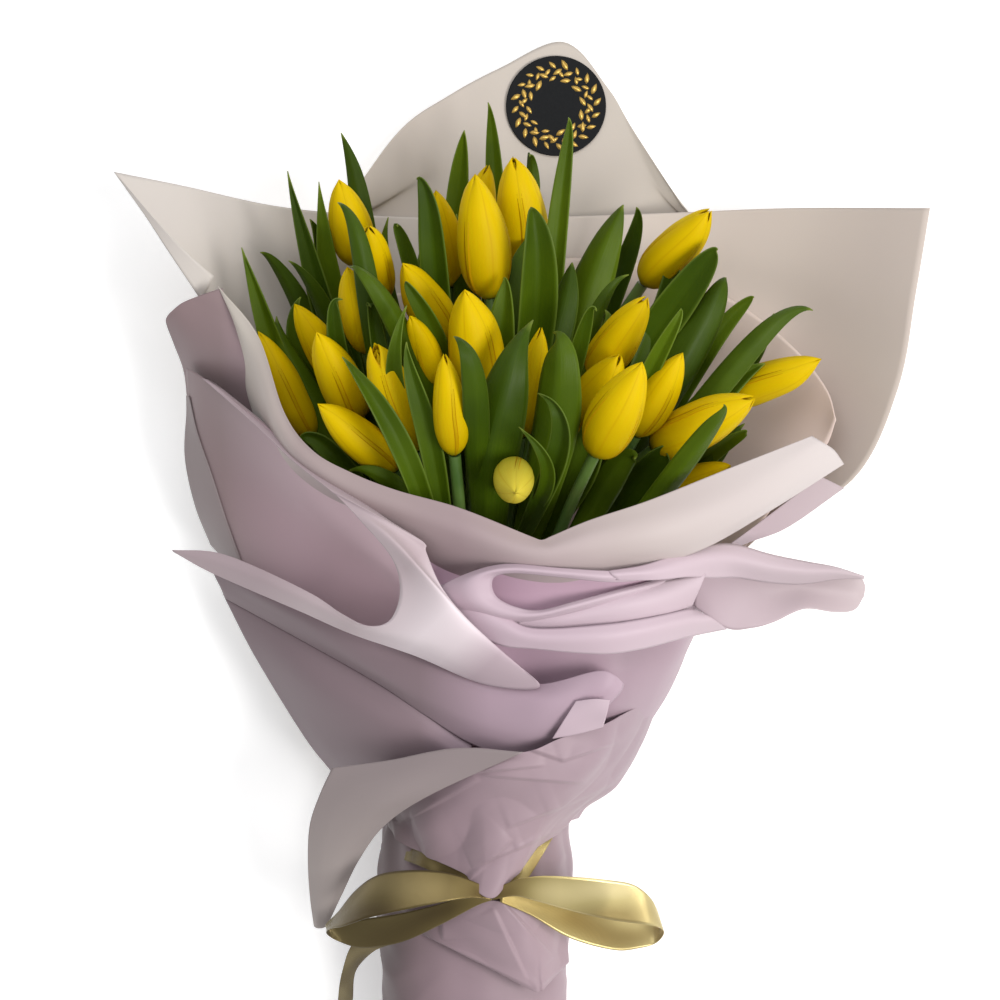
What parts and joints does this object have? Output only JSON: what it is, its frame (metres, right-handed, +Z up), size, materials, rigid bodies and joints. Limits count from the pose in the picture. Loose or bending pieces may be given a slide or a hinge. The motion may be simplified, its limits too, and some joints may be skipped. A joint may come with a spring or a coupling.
{
  "type": "bunch of tulips",
  "caption": "Hand-tied bunch of closed yellow tulips in lilac wrapping film with a gold ribbon bow, lying on its back sheet",
  "frame": {"origin": "middle of the underside of the object's box, on the table it lies on", "axes": "+Y from the cut stem ends to the flower heads, +X to the right of the bunch seen from above, +Z up off the table"},
  "size_m": [0.406, 0.551, 0.176],
  "materials": {
    "petals": "satin, waxy",
    "greenery": "satin, waxy",
    "film": "matte",
    "ribbon": "satin",
    "seal": "semi-matte, gold print"
  },
  "bodies": {
    "root": {"tulip_01_bloom": "petals", "tulip_02_bloom": "petals", "tulip_03_bloom": "petals", "tulip_04_bloom": "petals", "tulip_05_bloom": "petals", "tulip_06_bloom": "petals", "tulip_07_bloom": "petals", "tulip_08_bloom": "petals", "tulip_09_bloom": "petals", "tulip_10_bloom": "petals", "tulip_11_bloom": "petals", "tulip_12_bloom": "petals", "tulip_13_bloom": "petals", "tulip_14_bloom": "petals", "tulip_15_bloom": "petals", "tulip_16_bloom": "petals", "tulip_17_bloom": "petals", "tulip_18_bloom": "petals", "tulip_19_bloom": "petals", "tulip_20_bloom": "petals", "tulip_21_bloom": "petals", "tulip_22_bloom": "petals", "tulip_23_bloom": "petals", "tulip_24_bloom": "petals", "tulip_25_bloom": "petals", "tulip_26_bloom": "petals", "tulip_01_stem_and_leaves": "greenery", "tulip_02_stem_and_leaves": "greenery", "tulip_03_stem_and_leaves": "greenery", "tulip_04_stem_and_leaves": "greenery", "tulip_05_stem_and_leaves": "greenery", "tulip_06_stem_and_leaves": "greenery", "tulip_07_stem_and_leaves": "greenery", "tulip_08_stem_and_leaves": "greenery", "tulip_09_stem_and_leaves": "greenery", "tulip_10_stem_and_leaves": "greenery", "tulip_11_stem_and_leaves": "greenery", "tulip_12_stem_and_leaves": "greenery", "tulip_13_stem_and_leaves": "greenery", "tulip_14_stem_and_leaves": "greenery", "tulip_15_stem_and_leaves": "greenery", "tulip_16_stem_and_leaves": "greenery", "tulip_17_stem_and_leaves": "greenery", "tulip_18_stem_and_leaves": "greenery", "tulip_19_stem_and_leaves": "greenery", "tulip_20_stem_and_leaves": "greenery", "tulip_21_stem_and_leaves": "greenery", "tulip_22_stem_and_leaves": "greenery", "tulip_23_stem_and_leaves": "greenery", "tulip_24_stem_and_leaves": "greenery", "tulip_25_stem_and_leaves": "greenery", "tulip_26_stem_and_leaves": "greenery", "back_sheet": "film", "wide_sheet": "film", "left_sheet": "film", "right_sheet": "film", "front_sheet": "film", "stem_sleeve": "film", "ribbon_bow": "ribbon", "round_seal": "seal"}
  },
  "joints": []
}
